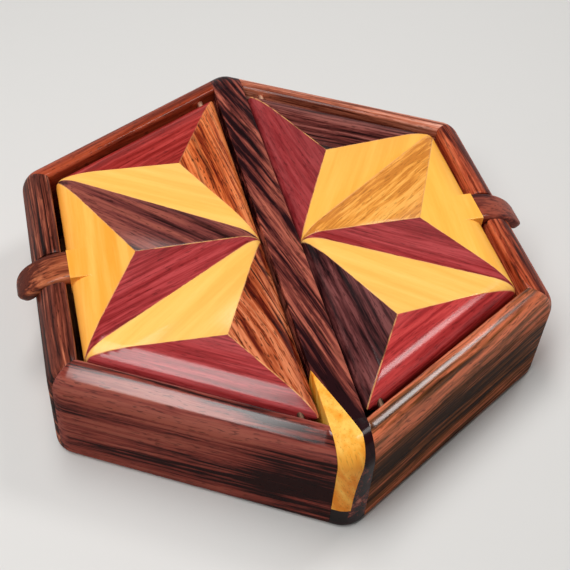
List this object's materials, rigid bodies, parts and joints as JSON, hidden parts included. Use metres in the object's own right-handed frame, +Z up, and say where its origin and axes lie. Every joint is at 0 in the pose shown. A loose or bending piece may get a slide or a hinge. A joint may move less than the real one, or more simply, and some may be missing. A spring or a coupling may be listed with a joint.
{
  "type": "parquetry jewelry box",
  "caption": "Hexagonal wooden jewelry box with a centre board, two wells and two half-hexagon lids in star parquetry on pin hinges.",
  "frame": {"origin": "middle of the underside, on the surface that the box stands on", "axes": "+Z up, +Y along the centre board away from the inlaid corner, +X towards the right-hand well"},
  "size_m": [0.2064, 0.2198, 0.045],
  "materials": {
    "rosewood": "polished, long black streaks",
    "yellow_wood": "polished, plain fine grain",
    "red_wood": "polished, fine streaks",
    "orange_cocobolo": "polished, black veins",
    "dark_cocobolo": "polished, near-black streaks",
    "figured_tan_wood": "polished, slanted brown streaks",
    "ebony": "polished black",
    "floor_board": "plain smooth board",
    "brass": "bright pin"
  },
  "bodies": {
    "case": {"stave_left_far": "rosewood", "stave_left_side": "rosewood", "stave_left_near": "rosewood", "stave_right_far": "rosewood", "stave_right_side": "rosewood", "stave_right_near": "rosewood", "centre_board": "rosewood", "corner_inlay": "yellow_wood", "corner_plug": "ebony", "floor_left": "floor_board", "floor_right": "floor_board", "hinge_pin_left_far": "brass", "hinge_pin_left_near": "brass", "hinge_pin_right_far": "brass", "hinge_pin_right_near": "brass"},
    "left_lid": {"left_lid_far_edge": "red_wood", "left_lid_far_inner": "orange_cocobolo", "left_lid_far_ray": "yellow_wood", "left_lid_middle_far_ray": "dark_cocobolo", "left_lid_side_edge": "yellow_wood", "left_lid_middle_near_ray": "red_wood", "left_lid_near_ray": "yellow_wood", "left_lid_near_edge": "red_wood", "left_lid_near_inner": "orange_cocobolo", "left_pull": "rosewood"},
    "right_lid": {"right_lid_far_edge": "dark_cocobolo", "right_lid_far_inner": "red_wood", "right_lid_far_ray": "yellow_wood", "right_lid_middle_far_ray": "figured_tan_wood", "right_lid_side_edge": "yellow_wood", "right_lid_middle_near_ray": "red_wood", "right_lid_near_ray": "yellow_wood", "right_lid_near_edge": "red_wood", "right_lid_near_inner": "dark_cocobolo", "right_pull": "rosewood"}
  },
  "joints": [
    {"name": "left_lid_hinge", "type": "hinge", "parent": "case", "child": "left_lid", "pos_m": [-0.0142, 0, 0.0405], "axis": [0, 1, 0], "range_deg": [0, 95]},
    {"name": "right_lid_hinge", "type": "hinge", "parent": "case", "child": "right_lid", "pos_m": [0.0142, 0, 0.0405], "axis": [0, -1, 0], "range_deg": [0, 95]}
  ]
}
